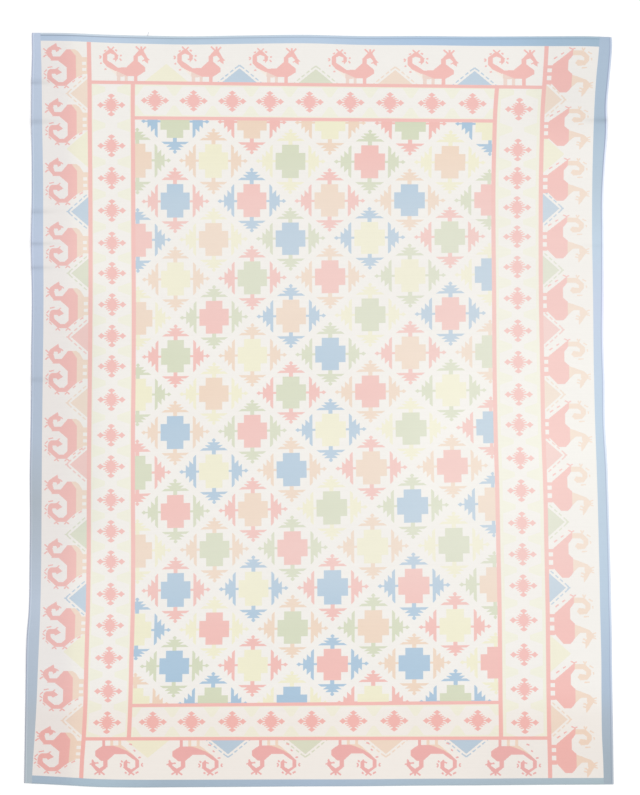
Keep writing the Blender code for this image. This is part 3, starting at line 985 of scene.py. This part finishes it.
# One quarter of a medallion, in steps from its middle.
medallion = {
    "spacing": (39.3, 38.9),  # from one column and one row to the next
    "cross": (
        block(-1, -1, 14.8, 8.5), block(-1, -1, 8.5, 16.4),
    ),
    "teeth": (
        block(-1, 16, 2.1, 20.6), ((-1, 20.2), (14.6, 20.2), (11.2, 22.6), (-1, 22.9)),
        ((-1, 22.6), (5.4, 22.9), (9.2, 25.4), (-1, 25.7)),
        ((-1, 25.3), (3.2, 25.6), (6.9, 28.3), (-1, 28.5)),
        ((-1, 28.2), (1.2, 28.2), (1.0, 29.4), (-1, 29.4)),
        ((-1, 30.4), (0, 28.4), (2.4, 30.4), (0, 32.4), (-1, 32.4)), block(14, -1, 18.4, 1.0),
        ((18.2, -1), (21.3, -1), (21.2, 13.2), (18.6, 16.2), (18.2, 16.2)),
        ((20.4, -1), (25.3, -1), (25.2, 10.9), (20.4, 6.4)),
        ((24.8, -1), (28.7, -1), (28.6, 6.8), (24.8, 3.4)), block(28.4, -1, 31, 0.6),
        ((30.2, 0), (32.6, -2.1), (35, 0), (32.6, 2.1)),
    ),
}


def weaveGuls(name, gul, wedges):
    # a serrated diamond with four knobs, and pale yellow wedges between one gul and the next
    material, tree = startMaterial(name)
    colour = yarns["white"]
    for chart, shapes, yarn in (("peak", wedges, "wedge"), ("figure", gul, "stripePink")):
        point = foldedPoint(tree, chartPoint(tree, chart))
        colour = mixColours(tree, patches(tree, point, shapes), colour, yarns[yarn])
    finishWeave(tree, colour)
    return material


# One quarter of a gul and of the wedges between guls, in steps from their middles.
endGul = (
    ((-1, -1), (5.8, -1), (5.8, 1), (4.6, 3), (2.8, 5), (1.2, 6.5), (-1, 6.5)),
    dash(3.5, 1.6, 8.4, 2.8, 1.2), dash(2.6, 3.3, 6.8, 4.5, 1.2), dash(1.4, 4.9, 4.8, 6.1, 1.1),
    ((-1, 5.9), (0, 5.9), (3.7, 8.3), (0, 10.7), (-1, 10.7)), block(5.5, -1, 8, 0.8),
    ((7.2, 0), (10.6, -3.0), (14.0, 0), (10.6, 3.0)),
)
sideGul = (
    ((-1, -1), (4.8, -1), (4.8, 1), (3.9, 3), (2.2, 5), (-1, 5)),
    ((-1, 4.5), (1.4, 4.5), (1.0, 7.4), (-1, 7.4)), dash(3.0, 1.6, 7.4, 2.8, 1.3),
    dash(2.2, 3.4, 6.0, 4.6, 1.3), dash(0.8, 5.0, 4.3, 6.1, 1.2),
    ((-1, 6.7), (0, 6.7), (3.7, 9.1), (0, 11.5), (-1, 11.5)), block(4.5, -1, 7.8, 0.8),
    ((7.2, 0), (10.6, -3.0), (14.0, 0), (10.6, 3.0)),
)
endWedges = (
    ((-1, 5), (1.6, 5), (9.5, 16), (-1, 16)), block(-1, 14.2, 60, 17),
)
sideWedges = (
    ((6, -1), (22, -1), (22, 7.8), (6, 2.2)), block(18.3, -1, 22, 60),
)


rugMaterials = (
    weaveField("fieldWeave"),
    weaveGuls("endGulWeave", endGul, endWedges),
    weaveGuls("sideGulWeave", sideGul, sideWedges),
    weavePlain("pinkStripe", "stripePink"),
    weaveBirds("headBirdWeave", headBird, weave["endThread"]),
    weaveBirds("footBirdWeave", footBird, weave["endThread"]),
    weaveBirds("leftBirdWeave", leftBird, weave["sideThread"]),
    weaveBirds("rightBirdWeave", rightBird, weave["sideThread"]),
    weavePlain("blueBand", "bandBlue"),
)
for material in rugMaterials:
    rugCloth.data.materials.append(material)
    print(f"{material.name}: {len(material.node_tree.nodes)} nodes")
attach(rugCloth, "root")
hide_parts("cloth")


# The loose warp end that stands out of the head hem, in mm but for its place
looseEnd = {
    "across": 0.590,  # m from the left
    "length": 20.0,  # out from the hem, and inside it
    "inside": 12.0,
    "thickness": 1.4,
    "height": 4.0,  # of its middle inside the hem, and how far it sinks to the tip
    "drop": 3.0,
    "bend": 5.0,  # to the right at the tip
    "colour": (0.30, 0.34, 0.42),
    "gloss": 0.5,
    "rings": 25,
    "spokes": 8,
}


def buildLooseEnd():
    # centre line (bend t^2, (length + inside) t - inside, height - drop t^2), and round it circles
    # of radius (thickness / 2) sqrt(1 - (2 t - 1)^16), which close in at both tips, but not to 0
    rings, spokes, inside = looseEnd["rings"], looseEnd["spokes"], looseEnd["inside"]
    t = np.linspace(0, 1, rings)[:, None]
    turn = np.linspace(0, 2 * np.pi, spokes + 1)[:-1][None, :]
    root = np.interp(looseEnd["across"], acrosses, endLines[-1])
    radius = 0.5 * looseEnd["thickness"] * mm * np.sqrt(np.clip(1 - (2 * t - 1) ** 16, 0.02, 1))
    x = looseEnd["across"] - clothWidth / 2 + looseEnd["bend"] * mm * t**2 + radius * np.cos(turn)
    y = root - clothLength / 2 + ((looseEnd["length"] + inside) * t - inside) * mm + 0 * turn
    z = (looseEnd["height"] - looseEnd["drop"] * t**2) * mm + radius * np.sin(turn)
    points = np.stack((x, y, z), axis=-1).reshape(-1, 3)
    start = np.arange((rings - 1) * spokes)
    beside = start - start % spokes + (start + 1) % spokes
    faces = np.stack((start, start + spokes, beside + spokes, beside), axis=1).tolist()
    faces += [list(range(spokes)), list(range(len(points) - 1, len(points) - 1 - spokes, -1))]
    return addPiece("looseWarp", points.tolist(), faces)


def plainMaterial(name, colour, roughness, gloss):
    material, tree = startMaterial(name)
    addShader(tree, {"Base Color": (*colour, 1), "Roughness": roughness, "Specular IOR Level": gloss})
    return material


looseWarp = buildLooseEnd()
looseCotton = plainMaterial("looseCotton", looseEnd["colour"], weave["roughness"], looseEnd["gloss"])
looseWarp.data.materials.append(looseCotton)
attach(looseWarp, "root")
print("loose end built")


# Studio: a white floor, soft light all round, two broad lamps and a long lens overhead
studio = {
    "floorSize": 30.0,
    "floorDrop": 0.0002,  # just under the cloth
    "floorColour": (0.97, 0.97, 0.97),
    "floorRoughness": 0.9,
    "floorGloss": 0.2,
    "skyStrength": 0.85,
    # place, size, power
    "lamps": (((-3.5, 1.0, 6.0), 5.0, 70.0), ((3.2, -0.5, 6.0), 6.0, 130.0)),
    "cameraHeight": 14.0,
    "viewWidth": 3.063,
    "viewCentre": (0.005, 0.0605),
}


def buildStudio():
    half = studio["floorSize"] / 2
    corners = [(-half, -half, 0), (half, -half, 0), (half, half, 0), (-half, half, 0)]
    floor = addPiece("floor", corners, [(0, 1, 2, 3)])
    floor.location.z = -studio["floorDrop"]
    paint = [studio[name] for name in ("floorColour", "floorRoughness", "floorGloss")]
    floor.data.materials.append(plainMaterial("floorPaint", *paint))
    world = bpy.data.worlds.new("softSky")
    world.use_nodes = True
    sky = world.node_tree.nodes["Background"]
    sky.inputs[0].default_value = (1, 1, 1, 1)
    sky.inputs[1].default_value = studio["skyStrength"]
    bpy.context.scene.world = world
    for number, (place, size, power) in enumerate(studio["lamps"], start=1):
        lamp = bpy.data.lights.new(f"softLamp{number}", "AREA")
        lamp.shape = "SQUARE"
        lamp.size = size
        lamp.energy = power
        holder = addObject(lamp.name, lamp)
        holder.location = place
        holder.rotation_euler = (-holder.location).to_track_quat("-Z", "Y").to_euler()


def placeCamera():
    # a long lens straight above: lens = sensor x height / width of the view on the floor
    data = bpy.data.cameras.new("overhead")
    data.sensor_fit = "HORIZONTAL"
    data.sensor_width = 36.0
    data.lens = data.sensor_width * studio["cameraHeight"] / studio["viewWidth"]
    data.clip_end = 100.0
    camera = addObject("overhead", data)
    camera.location = (*studio["viewCentre"], studio["cameraHeight"])
    bpy.context.scene.camera = camera


buildStudio()
placeCamera()
bpy.context.scene.view_settings.view_transform = "Standard"
print("studio lit")
